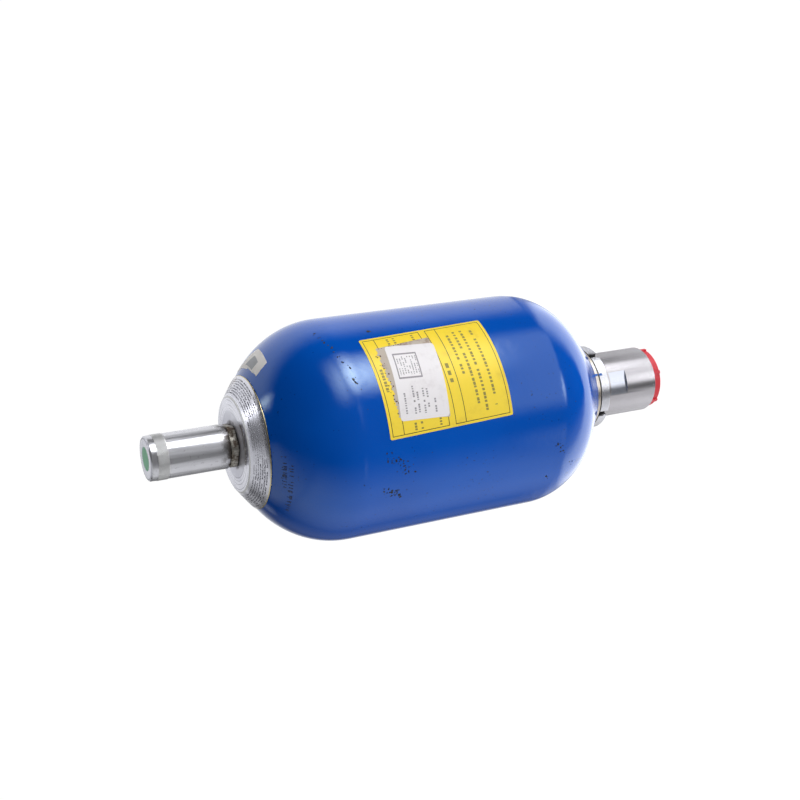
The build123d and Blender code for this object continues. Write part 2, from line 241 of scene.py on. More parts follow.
def turned_steel(name, tint, rough_low, rough_high, face_rings=False):
    """Steel with lathe lines round its axis, faint blotches and a little staining."""
    s = Shader(name)
    radius, angle, z = s.cylinder()
    across = radius if face_rings else z
    lines = s.lathe_lines(900.0, across, angle, 0.0015)
    fine = s.lathe_lines(3600.0, across, angle, 0.0015, 2.0, 0.6)
    blotch = s.noise(45.0, 4.0, 0.6)
    colour = s.mix(s.between(blotch, 0.35, 0.75), tint, shade(tint, 0.86))
    spots = s.math("MULTIPLY", s.between(s.noise(150.0, 5.0, 0.7), 0.62, 0.72), 0.25)
    colour = s.mix(spots, colour, rgb(120, 96, 70))
    rough = s.math("ADD", rough_low, s.math("MULTIPLY", lines, rough_high - rough_low))
    rough = s.math("ADD", rough, s.math("MULTIPLY", spots, 0.4), clamp=True)
    normal = s.bump(lines, 0.10, 0.0002, s.bump(fine, 0.06, 0.0001))
    return s.surface(colour, rough, 1.0, normal)


def port_steel():
    """Satin turned port body with bright milled flats."""
    s = Shader("port_steel")
    radius, angle, z = s.cylinder()
    lines = s.lathe_lines(1100.0, z, angle, 0.0012)
    blotch = s.noise(60.0, 5.0, 0.65)
    dots = s.between(s.noise(420.0, 2.0), 0.66, 0.74)
    colour = s.mix(blotch, rgb(214, 211, 214), rgb(200, 197, 202))
    colour = s.mix(s.math("MULTIPLY", dots, 0.25), colour, rgb(120, 112, 106))
    milled = s.between(radius, PORT_RADIUS * 0.9985, PORT_RADIUS * 0.9975)
    colour = s.mix(milled, colour, rgb(226, 230, 242))
    rough = s.math("ADD", 0.13, s.math("MULTIPLY", lines, 0.08))
    rough = s.math("SUBTRACT", rough, s.math("MULTIPLY", milled, 0.05))
    normal = s.bump(s.math("MULTIPLY", lines, s.math("SUBTRACT", 1.0, milled)), 0.14, 0.0002)
    return s.surface(colour, rough, 0.80, normal)


def plain(name, colour, roughness, metallic=0.0, grain=80.0, depth=0.08, vary=0.12):
    """A plain finish with slight unevenness in colour, gloss and surface."""
    s = Shader(name)
    field = s.noise(grain, 4.0, 0.6)
    tone = s.mix(field, colour, shade(colour, 1 - vary))
    rough = s.math("ADD", roughness, s.math("MULTIPLY", field, 0.1))
    normal = s.bump(s.noise(grain * 4, 2.0), depth, 0.0002)
    return s.surface(tone, rough, metallic, normal)


def plate_aluminium():
    """Pressed aluminium: ring lines on its flat, rows of plain strokes on its skirt, a painted
    highlight on its fold, and grease with painted shade round the nut's foot.
    """
    s = Shader("pressed_plate")
    radius, angle, _ = s.cylinder()
    smear = s.noise(30.0, 5.0, 0.6)
    colour = s.mix(s.between(smear, 0.4, 0.7), rgb(226, 226, 234), rgb(208, 208, 218))
    lines = 0.0
    for ring in RING_LINES:
        lines = s.math("MAXIMUM", lines, s.between(s.off(radius, ring), 0.00034, 0.00012))
    lines = s.math("MULTIPLY", lines, s.between(s.noise(40.0, 2.0), 0.36, 0.60))
    colour = s.mix(s.math("MULTIPLY", lines, 0.75), colour, rgb(96, 96, 106))
    # strokes: rows by radius, letters by a noise that runs along the row
    row = s.math("MULTIPLY", radius, 1 / PRINT_PITCH)
    in_row = s.between(s.off(s.math("FRACT", row), 0.5), 0.34, 0.27)
    along = s.vector(
        s.math("MULTIPLY", angle, PRINT_RADIUS),
        s.math("MULTIPLY", s.math("FLOOR", row), 0.37),
        s.math("MULTIPLY", radius, 0.5),
    )
    letters = s.between(s.noise(1400.0, 1.0, 0.5, along), 0.44, 0.51)
    words = s.between(s.noise(200.0, 2.0, 0.5, along), 0.38, 0.42)
    field = s.math("MULTIPLY", s.between(radius, *PRINT_INNER), s.between(radius, *PRINT_OUTER))
    worn = s.between(s.noise(34.0, 3.0), 0.30, 0.50)
    strokes = s.math("MULTIPLY", in_row, letters)
    strokes = s.math("MULTIPLY", strokes, s.math("MULTIPLY", words, field))
    strokes = s.math("MULTIPLY", s.math("MULTIPLY", strokes, worn), 0.9)
    colour = s.mix(strokes, colour, rgb(44, 44, 62))
    stains = s.between(s.noise(52.0, 4.0, 0.65), 0.58, 0.70)
    brown = s.math("MULTIPLY", stains, s.between(radius, 0.036, 0.040))
    colour = s.mix(s.math("MULTIPLY", brown, 0.28), colour, rgb(150, 118, 92))
    rim = s.between(radius, PLATE_RIM - 0.0009, PLATE_RIM - 0.0004)
    colour = s.mix(rim, colour, rgb(206, 196, 160))
    # painted highlight: the fold is painted pure white, and is made less metal so that the white
    # shows
    painted_fold_highlight = s.between(s.off(radius, PLATE_FOLD), 0.0009, 0.0004)
    colour = s.mix(painted_fold_highlight, colour, rgb(255, 255, 255))
    # darker round the gas nut's foot: grease, and painted shade where the nut shades the flat
    breakup = s.between(s.noise(90.0, 5.0, 0.7), 0.35, 0.62)
    grime_and_shade = s.math("MULTIPLY", s.between(radius, 0.0190, 0.0172), breakup)
    colour = s.mix(s.math("MULTIPLY", grime_and_shade, 0.5), colour, rgb(86, 78, 74))
    rough = s.math("ADD", 0.17, s.math("MULTIPLY", smear, 0.12))
    rough = s.math("ADD", rough, s.math("MULTIPLY", s.between(radius, *DULL_FLAT), 0.25))
    rough = s.math("ADD", rough, s.math("MULTIPLY", s.math("ADD", grime_and_shade, strokes), 0.3), clamp=True)
    dents = s.bump(s.noise(120.0, 3.0), 0.03, 0.0003, s.bump(s.noise(22.0, 2.0), 0.12, 0.0010))
    normal = s.bump(lines, -0.4, 0.0002, dents)
    # the print and the painted highlight on the fold are less metal
    metal = s.math("SUBTRACT", 0.80, s.math("MULTIPLY", s.math("MAXIMUM", strokes, painted_fold_highlight), 0.7))
    return s.surface(colour, rough, metal, normal)


def greasy_nut():
    """Zinc nut under old brown grease, with some rust and a black line at its foot."""
    s = Shader("greasy_nut")
    cover = s.between(s.noise(170.0, 5.0, 0.75), 0.42, 0.58)
    rust = s.between(s.noise(200.0, 4.0, 0.7), 0.52, 0.66)
    colour = s.mix(cover, rgb(190, 186, 176), rgb(88, 76, 64))
    colour = s.mix(s.math("MULTIPLY", rust, 0.6), colour, rgb(96, 66, 42))
    _, _, z = s.split(s.coords)
    foot = s.between(z, GAS_NUT_FOOT + 0.0012, GAS_NUT_FOOT + 0.0004)
    colour = s.mix(foot, colour, rgb(20, 18, 18))
    rough = s.math("ADD", 0.30, s.math("MULTIPLY", cover, 0.35))
    metal = s.math("SUBTRACT", 0.75, s.math("MULTIPLY", s.math("MAXIMUM", cover, foot), 0.7))
    normal = s.bump(s.noise(260.0, 5.0, 0.7), 0.5, 0.0006)
    return s.surface(colour, rough, metal, normal)


def cap_zinc():
    """Bright zinc: fine handling specks, a little grease at the foot, painted shade on the end
    face, a dark ring on the end.
    """
    s = Shader("cap_zinc")
    radius, angle, z = s.cylinder()
    lines = s.lathe_lines(700.0, z, angle, 0.003)
    colour = s.mix(s.noise(70.0, 4.0, 0.6), rgb(218, 218, 222), rgb(204, 204, 210))
    specks = s.between(s.noise(460.0, 2.0), 0.64, 0.70)
    colour = s.mix(s.math("MULTIPLY", specks, 0.35), colour, rgb(130, 128, 132))
    low = s.between(z, cap_low.z + 0.010, cap_low.z)
    foot = s.math("MULTIPLY", low, s.between(s.noise(140.0, 5.0, 0.7), 0.40, 0.58))
    colour = s.mix(foot, colour, rgb(70, 60, 50))
    rough = s.math("ADD", 0.16, s.math("MULTIPLY", lines, 0.08))
    rough = s.math("ADD", rough, s.math("MULTIPLY", foot, 0.35), clamp=True)
    normal = s.bump(lines, 0.02, 0.0002, s.bump(s.noise(30.0, 2.0), 0.08, 0.0006))
    # painted shade: the end face is painted a darker lilac grey
    end = s.between(z, cap_high.z - 0.0006, cap_high.z - 0.0002)
    colour = s.mix(s.math("MULTIPLY", end, 0.8), colour, rgb(186, 186, 198))
    edge = s.between(s.off(radius, CAP_END), 0.0005, 0.0002)
    colour = s.mix(s.math("MULTIPLY", end, edge), colour, rgb(70, 70, 78))
    return s.surface(colour, rough, 0.70, normal)


def nut_steel(name, tint, seam_z, seam_out, pocket_radius):
    """Bright turned ring: black grime in its seam, and painted shade in what lies below
    pocket_radius.
    """
    s = Shader(name)
    radius, angle, z = s.cylinder()
    lines = s.lathe_lines(1200.0, z, angle, 0.0015)
    colour = s.mix(s.between(s.noise(45.0, 4.0, 0.6), 0.35, 0.75), tint, shade(tint, 0.9))
    spots = s.between(s.noise(150.0, 5.0, 0.7), 0.64, 0.72)
    colour = s.mix(s.math("MULTIPLY", spots, 0.2), colour, rgb(130, 106, 80))
    grime_and_shade = s.between(z, seam_z - 1.6 * seam_out, seam_z - 0.6 * seam_out)
    # painted shade: the recesses below pocket_radius are painted nearly black
    if pocket_radius:
        pocket = s.between(radius, pocket_radius, pocket_radius - 0.0004)
        grime_and_shade = s.math("MAXIMUM", grime_and_shade, s.math("MULTIPLY", pocket, 0.96))
    colour = s.mix(grime_and_shade, colour, rgb(22, 20, 20))
    rough = s.math("ADD", 0.16, s.math("MULTIPLY", lines, 0.10))
    rough = s.math("ADD", rough, s.math("MULTIPLY", grime_and_shade, 0.5), clamp=True)
    metal = s.math("SUBTRACT", 0.80, s.math("MULTIPLY", grime_and_shade, 0.75))
    return s.surface(colour, rough, metal, s.bump(lines, 0.07, 0.0002))


def paper(name, base, stain, stain_amount, gloss=0.45):
    """Printed sticker stock: faint fibre, handling marks and stains."""
    s = Shader(name)
    fibre = s.noise(700.0, 3.0)
    stains = s.math("MULTIPLY", s.between(s.noise(48.0, 5.0, 0.7), 0.50, 0.72), stain_amount)
    colour = s.mix(s.math("MULTIPLY", fibre, 0.12), base, shade(base, 0.8))
    colour = s.mix(stains, colour, stain)
    normal = s.bump(fibre, 0.05, 0.0001, s.bump(s.noise(35.0, 2.0), 0.08, 0.0008))
    return s.surface(colour, gloss, 0.0, normal)


def ink(name, base, wear=0.25):
    """Printed strokes, worn in places."""
    s = Shader(name)
    gaps = s.math("MULTIPLY", s.between(s.noise(900.0, 2.0), 0.55, 0.7), wear)
    return s.surface(s.mix(gaps, base, rgb(120, 110, 60)), 0.5)


def body_radius(node, low, high):
    """Largest radius of a CAD node between two heights."""
    best = 0.0
    for v in nodes[node].data.vertices:
        if low <= v.co.z <= high:
            best = max(best, math.hypot(v.co.x, v.co.y))
    return best


PORT_RADIUS = body_radius("oil_port_body", PORT_FACE, PORT_FACE + 0.02)
CAP_END = body_radius("valve_protection_cap", cap_high.z - 0.0001, cap_high.z + 0.0001) - 0.0007
PLATE_RIM = plate_high.x
PLATE_FOLD = body_radius("name_plate", plate_high.z - 0.0004, plate_high.z) + 0.0004
# on the name plate, all as radii in metres: ring lines, the strokes' pitch, mean radius and two
# soft limits, and the soft limit of the duller flat
RING_LINES = (0.0332, 0.0296, 0.0270, 0.0246)
PRINT_PITCH, PRINT_RADIUS = 0.00145, 0.042
PRINT_INNER, PRINT_OUTER = (0.0372, 0.0378), (0.0482, 0.0478)
DULL_FLAT = (0.0275, 0.0235)

FINISH = {
    "pressure_shell": blue_paint(),
    "oil_port_body": port_steel(),
    "slotted_lock_nut": nut_steel(
        "nut_steel", rgb(240, 240, 246), nut_high.z, 0.0009, nut_high.x - 0.0010
    ),
    "spacer_ring": nut_steel("spacer_steel", rgb(232, 222, 208), spacer_low.z, -0.0005, 0.0),
    "valve_protection_cap": cap_zinc(),
    "name_plate": plate_aluminium(),
    "gas_stem_nut": greasy_nut(),
    "gas_valve_stem": turned_steel("stem_steel", rgb(176, 172, 168), 0.25, 0.40),
    "poppet_valve": turned_steel("poppet_steel", rgb(190, 188, 186), 0.18, 0.30),
    "seal_washer": turned_steel("washer_steel", rgb(180, 178, 176), 0.25, 0.40, True),
    "poppet_stem_nut": plain("small_nut_zinc", rgb(190, 190, 196), 0.28, 1.0),
    "poppet_spring": plain("spring_wire", rgb(110, 110, 116), 0.30, 1.0),
    "valve_core_spring": plain("core_spring_wire", rgb(150, 150, 156), 0.28, 1.0),
    "valve_core_pin": plain("core_pin_steel", rgb(186, 186, 190), 0.24, 1.0),
    "valve_core_guide": plain("core_brass", rgb(202, 168, 96), 0.28, 1.0),
    "gas_valve_insert": turned_steel("insert_brass", rgb(206, 172, 102), 0.20, 0.34),
    "valve_seal_cap": turned_steel("seal_cap_brass", rgb(204, 170, 98), 0.22, 0.36),
    "damping_sleeve": turned_steel("sleeve_brass", rgb(196, 160, 92), 0.22, 0.36),
    "gas_valve_o_ring": plain("o_ring_rubber", rgb(24, 24, 26), 0.50),
    "port_o_ring": plain("port_ring_rubber", rgb(24, 24, 26), 0.50),
    "bladder": plain("bladder_rubber", rgb(30, 30, 32), 0.55, 0.0, 50.0, 0.15),
    "anti_extrusion_ring": plain("split_ring_rubber", rgb(34, 32, 32), 0.55, 0.0, 60.0, 0.15),
    "support_ring": plain("support_plastic", rgb(224, 220, 208), 0.40),
    "cap_colour_disc": plain("disc_green", rgb(150, 216, 178), 0.55, 0.0, 160.0, 0.10, 0.25),
    "transport_plug": plain("plug_red", rgb(222, 48, 62), 0.34, 0.0, 90.0, 0.10, 0.14),
}

# rounding that catches the light on pressed and turned edges: node, width in mm
ROUNDED = (("name_plate", 0.7), ("valve_protection_cap", 0.3), ("gas_stem_nut", 0.4))
SHARP = math.radians(28)
for name, node in nodes.items():
    node.data.materials.clear()
    node.data.materials.append(FINISH[name])
    node.data.shade_smooth()
    node.data.set_sharp_from_angle(angle=SHARP)
for name, node in nodes.items():
    # joins the two sides of each round face's seam, so that its shading runs on there, and then
    # parts the real edges again
    weld = node.modifiers.new("seam_weld", "WELD")
    weld.merge_threshold = 0.01 * MM
    if name not in dict(ROUNDED):
        split = node.modifiers.new("edge_split", "EDGE_SPLIT")
        split.split_angle = SHARP
for name, width in ROUNDED:
    bevel = nodes[name].modifiers.new("edge_round", "BEVEL")
    bevel.width = width * MM
    bevel.segments = 3
    bevel.limit_method = "ANGLE"
    bevel.angle_limit = SHARP
    bevel.harden_normals = True


# ---------------------------------------- copies of the springs, on their joints' parent bodies
def spring(joint, bent):
    """A copy of a CAD spring, attached to its joint's parent body in place of the original."""
    node = nodes[bent["node"]]
    made = bpy.data.objects.new(bent["node"] + "_coil", node.data.copy())
    made.matrix_world = node.matrix_world.copy()
    bpy.context.scene.collection.objects.link(made)
    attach(made, joint["parent"])
    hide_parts(bent["node"])
    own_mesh(made)


for joint in frame["record"]["behaviour"]["joints"]:
    for bent in joint.get("deforming_nodes", ()):
        spring(joint, bent)


# ---------------------------------------- pieces on the shell
def shell_profile(z):
    """Outer radius of the shell at a height, read from the CAD mesh."""
    low = max((p for p in PROFILE if p[0] <= z), default=PROFILE[0])
    high = min((p for p in PROFILE if p[0] > z), default=PROFILE[-1])
    if high[0] == low[0]:
        return low[1]
    share = (z - low[0]) / (high[0] - low[0])
    return low[1] + share * (high[1] - low[1])


def outer_profile():
    """(height, radius) pairs of the shell's outside, lowest first."""
    best = {}
    for v in nodes["pressure_shell"].data.vertices:
        if v.normal.x * v.co.x + v.normal.y * v.co.y > 0:
            z = round(v.co.z, 5)
            best[z] = max(best.get(z, 0.0), math.hypot(v.co.x, v.co.y))
    return sorted(best.items())


PROFILE = outer_profile()


def inside_corners(corners, u, v):
    """(height, psi) at shares u and v of the way across four corners."""
    (z0, p0), (z1, p1), (z2, p2), (z3, p3) = corners
    z = (z0 * (1 - u) + z1 * u) * (1 - v) + (z3 * (1 - u) + z2 * u) * v
    psi = (p0 * (1 - u) + p1 * u) * (1 - v) + (p3 * (1 - u) + p2 * u) * v
    return z, psi


def on_axis(r, angle, z):
    """Point at a radius, an angle and a height about the part's axis."""
    return (r * math.cos(angle), r * math.sin(angle), z)


def new_object(name, verts, faces, material, body="vessel"):
    mesh = bpy.data.meshes.new(name)
    mesh.from_pydata(verts, [], faces)
    mesh.validate()
    mesh.materials.append(material)
    piece = bpy.data.objects.new(name, mesh)
    bpy.context.scene.collection.objects.link(piece)
    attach(piece, body)
    return piece


# ---------------------------------------- stickers
class Sheet:
    """Thin sheet shapes on a round surface, in a label's own frame.

    u runs from the label's gas-side edge (0) to its port-side edge (1), and v round the axis from
    its first long edge (0) to its second (1). Corners are (height in mm above the port face, psi
    in degrees). Lifts and thicknesses are in mm.
    """

    def __init__(self, corners, radius=R):
        self.corners, self.radius = corners, radius
        self.verts, self.faces = [], []

    def place(self, u, v, lift):
        z, psi = inside_corners(self.corners, u, v)
        return on_axis(self.radius + lift * MM, turn(psi), height(z))

    def rows(self, spans, lift, thick):
        """A slab through rows of (v, lowest u, highest u)."""
        start = len(self.verts)
        for v, low, high in spans:
            for u in (low, high):
                self.verts.append(self.place(u, v, lift))
                self.verts.append(self.place(u, v, lift + thick))
        for i in range(len(spans) - 1):
            k = start + 4 * i
            self.faces += [
                (k + 1, k + 3, k + 7, k + 5),
                (k, k + 4, k + 6, k + 2),
                (k, k + 1, k + 5, k + 4),
                (k + 2, k + 6, k + 7, k + 3),
            ]
        end = start + 4 * (len(spans) - 1)
        self.faces += [(start, start + 2, start + 3, start + 1), (end, end + 1, end + 3, end + 2)]

    def bar(self, u0, v0, u1, v1, lift, thick, steps=None):
        """A plain rectangle; rows follow the shell's curve."""
        if steps is None:
            steps = max(1, round(abs(v1 - v0) * 40))
        self.rows([(v0 + (v1 - v0) * i / steps, u0, u1) for i in range(steps + 1)], lift, thick)

    def card(self, corner_u, corner_v, lift, thick, steps=48, edge=None):
        """The whole label with rounded corners; edge(v) moves its gas-side and port-side edges."""
        spans = []
        ends = [corner_v * (1 - math.cos(math.radians(a))) for a in (0, 20, 40, 60, 80)]
        middle = [corner_v + (1 - 2 * corner_v) * i / steps for i in range(steps + 1)]
        for v in ends + middle + [1 - e for e in ends[::-1]]:
            depth = max(0.0, 1 - min(v, 1 - v) / corner_v)
            inset = corner_u * (1 - math.sqrt(max(0.0, 1 - depth * depth)))
            low, high = edge(v) if edge else (0.0, 1.0)
            spans.append((v, low + inset, high - inset))
        self.rows(spans, lift, thick)

    def frame(self, u0, v0, u1, v1, width_u, width_v, lift, thick):
        """A ruled rectangle."""
        self.bar(u0, v0, u0 + width_u, v1, lift, thick)
        self.bar(u1 - width_u, v0, u1, v1, lift, thick)
        self.bar(u0 + width_u, v0, u1 - width_u, v0 + width_v, lift, thick, 1)
        self.bar(u0 + width_u, v1 - width_v, u1 - width_u, v1, lift, thick, 1)

    def dashes(self, u, v0, v1, tall, step, fill, lift, thick, rng):
        """A row of short plain strokes, standing in for a line of print."""
        v = v0
        while v < v1:
            long = step * rng.uniform(0.45, 0.85)
            if rng.random() < fill:
                self.bar(u, v, u + tall, min(v + long, v1), lift, thick, 1)
            v += step

    def piece(self, name, material):
        new_object(name, self.verts, self.faces, material)


LABEL = ((273.8, 44.4), (172.9, 48.0), (171.4, -7.8), (271.2, -10.3))
STICKER = ((257.8, 37.6), (219.4, 36.2), (223.1, -3.2), (261.6, -2.1))
# lift off the shell and thickness of each layer, in mm
YELLOW_LAYER, REMNANT_LAYER = (0.03, 0.11), (0.13, 0.06)
SCRAP_LAYER, WHITE_LAYER = (0.20, 0.03), (0.20, 0.10)
LABEL_INK, STICKER_INK = (0.14, 0.02), (0.31, 0.02)

yellow = Sheet(LABEL)
yellow.card(0.014, 0.018, *YELLOW_LAYER)
yellow_stock = paper("label_yellow", rgb(250, 218, 40), rgb(214, 176, 40), 0.35, 0.36)
yellow.piece("yellow_label", yellow_stock)

rules = Sheet(LABEL)
FIRST, SECOND = (0.020, 0.475), (0.525, 0.978)
for low, high in (FIRST, SECOND):
    rules.frame(low, 0.022, high, 0.978, 0.005, 0.006, *LABEL_INK)
for divider in (FIRST[0] + 0.088, SECOND[0] + 0.083):
    rules.bar(divider, 0.03, divider + 0.005, 0.97, *LABEL_INK)
rules.piece("label_rules", ink("label_ink", rgb(64, 60, 34)))

rng = random.Random(11)
print_rows = Sheet(LABEL)
LABEL_ROWS = ((0.665, 0.13, 0.55), (0.725, 0.10, 0.84), (0.785, 0.10, 0.93), (0.865, 0.08, 0.88))
for u, v0, v1 in LABEL_ROWS:
    print_rows.dashes(u, v0, v1, 0.020, 0.036, 0.9, *LABEL_INK, rng)
print_rows.dashes(0.552, 0.42, 0.62, 0.026, 0.075, 1.0, *LABEL_INK, rng)
print_rows.dashes(0.045, 0.36, 0.58, 0.022, 0.030, 1.0, *LABEL_INK, rng)
for u in (0.20, 0.25, 0.40):
    print_rows.dashes(u, 0.045, 0.115, 0.018, 0.026, 0.9, *LABEL_INK, rng)
    print_rows.dashes(u, 0.89, 0.96, 0.018, 0.026, 0.9, *LABEL_INK, rng)
print_rows.piece("label_print", ink("label_print_ink", rgb(148, 134, 52), 0.5))


def torn(amount, seed, low):
    """A first edge that wanders and jags as torn paper does, beside a straight second one."""
    tears = 58
    dice = random.Random(seed)
    wander = [dice.uniform(-1, 1) for _ in range(tears + 2)]

    def edge(v):
        k = min(tears, int(v * tears))
        share = v * tears - k
        jag = wander[k] * (1 - share) + wander[k + 1] * share
        return low + amount * jag, 1.0

    return edge


REMNANT = ((266.8, 37.2), (220.6, 40.2), (222.6, -3.6), (263.4, -0.4))
remnant = Sheet(REMNANT)
remnant.card(0.02, 0.03, *REMNANT_LAYER, 60, torn(0.030, 5, 0.03))
torn_stock = paper("torn_stock", rgb(196, 184, 172), rgb(120, 76, 48), 0.9, 0.8)
remnant.piece("torn_paper", torn_stock)

scraps = Sheet(REMNANT)
dice = random.Random(23)
for _ in range(26):
    v = dice.uniform(0.10, 0.96)
    u = dice.uniform(-0.03, 0.07)
    far_u, far_v = u + dice.uniform(0.006, 0.03), v + dice.uniform(0.006, 0.022)
    scraps.bar(u, v, far_u, far_v, *SCRAP_LAYER, 1)
for _ in range(10):
    u = dice.uniform(0.02, 0.62)
    v = dice.uniform(-0.006, 0.018)
    far_u, far_v = u + dice.uniform(0.01, 0.04), v + dice.uniform(0.004, 0.014)
    scraps.bar(u, v, far_u, far_v, *SCRAP_LAYER, 1)
scraps.piece("rust_scraps", plain("scrap_rust", rgb(92, 54, 28), 0.8, 0.0, 400.0, 0.3, 0.5))

white = Sheet(STICKER)
white.card(0.05, 0.05, *WHITE_LAYER)
white_stock = paper("sticker_white", rgb(236, 232, 234), rgb(206, 198, 200), 0.5, 0.42)
white.piece("white_sticker", white_stock)

marks = Sheet(STICKER)
# a plain ruled box with rows of dashes in it: generic, and no code
BOX_U0, BOX_V0, BOX_U1, BOX_V1 = BOX = (0.10, 0.12, 0.58, 0.48)
BOX_ROWS, BOX_MARGIN = 9, 0.05
marks.frame(*BOX, 0.024, 0.022, *STICKER_INK)
for k in range(1, BOX_ROWS):
    u = BOX_U0 + (BOX_U1 - BOX_U0) * k / BOX_ROWS
    marks.dashes(u, BOX_V0 + BOX_MARGIN, BOX_V1 - BOX_MARGIN, 0.020, 0.028, 0.75, *STICKER_INK, rng)
STICKER_ROWS = ((0.12, 0.66), (0.30, 0.58), (0.38, 0.66), (0.50, 0.62), (0.58, 0.60), (0.72, 0.76))
for u, v0 in STICKER_ROWS:
    marks.dashes(u, v0, 0.93, 0.035, 0.030, 0.8, *STICKER_INK, rng)
marks.piece("sticker_print", ink("sticker_ink", rgb(150, 144, 150), 0.5))

# a paint dab across the lock nut and the spacer ring, one piece on each
dab_blue = plain("dab_blue", rgb(52, 112, 196), 0.4, 0.0, 500.0, 0.3, 0.3)
DABS = (("nut_dab", 56.2, 59.3, nut_high.x), ("spacer_dab", 60.8, 63.2, spacer_high.x))
for name, low, high, radius in DABS:
    dab = Sheet(((high, 14.9), (low, 15.3), (low, 11.6), (high, 11.9)), radius)
    dab.card(0.25, 0.2, 0.01, 0.05, 6)
    dab.piece(name, dab_blue)


# ---------------------------------------- sticker on the gas-side shoulder
def dome_point(z_mm, psi, lift):
    """Point on the shell's dome, lifted off it along its normal."""
    z = height(z_mm)
    step = 0.0008
    slope = (shell_profile(z + step) - shell_profile(z - step)) / (2 * step)
    out = Vector((1.0, -slope)).normalized()
    return on_axis(shell_profile(z) + lift * MM * out.x, turn(psi), z + lift * MM * out.y)


def dome_sheet(name, corners, lift, thick, material):
    """Thin sheet on the dome, its corners (height in mm above the port face, psi)."""
    cells = 14
    verts, faces = [], []
    for layer in (lift, lift + thick):
        for i in range(cells + 1):
            for j in range(cells + 1):
                z, psi = inside_corners(corners, i / cells, j / cells)
                verts.append(dome_point(z, psi, layer))
    line = cells + 1
    top = line * line
    for i in range(cells):
        for j in range(cells):
            k = i * line + j
            faces.append((k, k + line, k + line + 1, k + 1))
            faces.append((top + k, top + k + 1, top + k + line + 1, top + k + line))
    rim = list(range(line)) + [i * line + cells for i in range(1, line)]
    rim += [cells * line + j for j in range(cells - 1, -1, -1)]
    rim += [i * line for i in range(cells - 1, 0, -1)]
    for a, b in zip(rim, rim[1:] + rim[:1]):
        faces.append((a, b, top + b, top + a))
    new_object(name, verts, faces, material)


SHOULDER = ((331.5, 83.8), (335.3, 58.0), (346.9, 56.5), (344.6, 104.2))
SHOULDER_PANEL = ((336.2, 79.0), (338.4, 67.5), (343.2, 68.0), (341.8, 86.0))
shoulder_stock = paper("shoulder_stock", rgb(244, 240, 236), rgb(200, 184, 170), 0.35, 0.5)
dome_sheet("shoulder_sticker", SHOULDER, 0.04, 0.10, shoulder_stock)
shoulder_ink = ink("shoulder_ink", rgb(170, 172, 176), 0.3)
dome_sheet("shoulder_panel", SHOULDER_PANEL, 0.15, 0.02, shoulder_ink)


# ---------------------------------------- chips and stamped strokes in the paint
class Flakes:
    """Thin flakes that follow the shell's outside, gathered into one piece."""

    def __init__(self):
        self.verts, self.faces = [], []

    def flake(self, rim, lift, thick):
        """A flat flake through (height in mm above the port face, psi) points."""
        start, count = len(self.verts), len(rim)
        for layer in (lift, lift + thick):
            self.verts += [dome_point(z, psi, layer) for z, psi in rim]
        self.faces.append(tuple(start + count + i for i in range(count)))
        self.faces.append(tuple(start + i for i in reversed(range(count))))
        for i in range(count):
            n = (i + 1) % count
            self.faces.append((start + i, start + n, start + count + n, start + count + i))

    def chip(self, z, psi, size, dice):
        """An uneven chip about size mm across."""
        per_degree = math.radians(1) * shell_profile(height(z)) / MM
        sides = dice.choice((5, 6, 7))
        tilt, long = dice.uniform(0, math.pi), dice.uniform(1.0, 1.9)
        rim = []
        for i in range(sides):
            a = 2 * math.pi * i / sides
            r = size / 2 * dice.uniform(0.55, 1.0)
            x, y = r * math.cos(a) * long, r * math.sin(a)
            along = x * math.cos(tilt) - y * math.sin(tilt)
            round_ = x * math.sin(tilt) + y * math.cos(tilt)
            rim.append((z + along, psi + round_ / per_degree))
        self.flake(rim, 0.01, 0.03)


# trails of chips, as (start, end, scatter in mm and degrees, count, size in mm)
CHIP_TRAILS = (
    ((301, 59), (289, 24), (1.4, 1.4), 17, 1.7),
    ((289.4, 22), (288.2, 19.2), (0.5, 0.6), 4, 2.3),
    ((262, 51.5), (261, 50.5), (0.3, 0.3), 2, 2.6),
    ((274, -19), (255, -27), (4.0, 3.4), 34, 1.5),
    ((276, -36), (262, -41), (3.6, 1.8), 26, 1.7),
    ((299, 34), (268, -10), (16.0, 10.0), 8, 0.7),
    ((133, -27), (126, -33), (1.8, 1.6), 9, 1.8),
    ((117, -41), (113, -44), (1.0, 1.0), 4, 1.6),
    ((138, -48), (134, -49), (1.2, 1.0), 5, 1.6),
    ((165, -20), (120, 20), (20.0, 22.0), 12, 0.8),
    ((240, -30), (180, -44), (18.0, 12.0), 16, 0.9),
)
dice = random.Random(41)
chips = Flakes()
for (z0, psi0), (z1, psi1), (scatter_z, scatter_psi), count, size in CHIP_TRAILS:
    for k in range(count):
        share = (k + dice.random()) / count
        z = z0 + (z1 - z0) * share + dice.uniform(-1, 1) * scatter_z
        psi = psi0 + (psi1 - psi0) * share + dice.uniform(-1, 1) * scatter_psi
        chips.chip(z, psi, size * dice.uniform(0.5, 1.2), dice)
chip_dark = plain("chip_primer", rgb(26, 34, 52), 0.6, 0.0, 300.0, 0.2, 0.3)
new_object("paint_chips", chips.verts, chips.faces, chip_dark)

# plain strokes where the photograph has stamped marks, as (height in mm, first psi, last psi)
stamps = Flakes()
for z, first, last in ((340.2, -14, -40), (336.6, -20, -62)):
    psi = first
    while psi > last:
        if dice.random() < 0.8:
            tall = dice.uniform(1.2, 3.0)
            far = psi - 0.6
            stamps.flake(((z, psi), (z + tall, psi), (z + tall, far), (z, far)), 0.005, 0.02)
        psi -= dice.choice((0.9, 1.3, 2.4))
stamp_dark = plain("stamp_shade", rgb(2, 16, 56), 0.5, 0.0, 300.0, 0.2, 0.3)
new_object("stamped_strokes", stamps.verts, stamps.faces, stamp_dark)


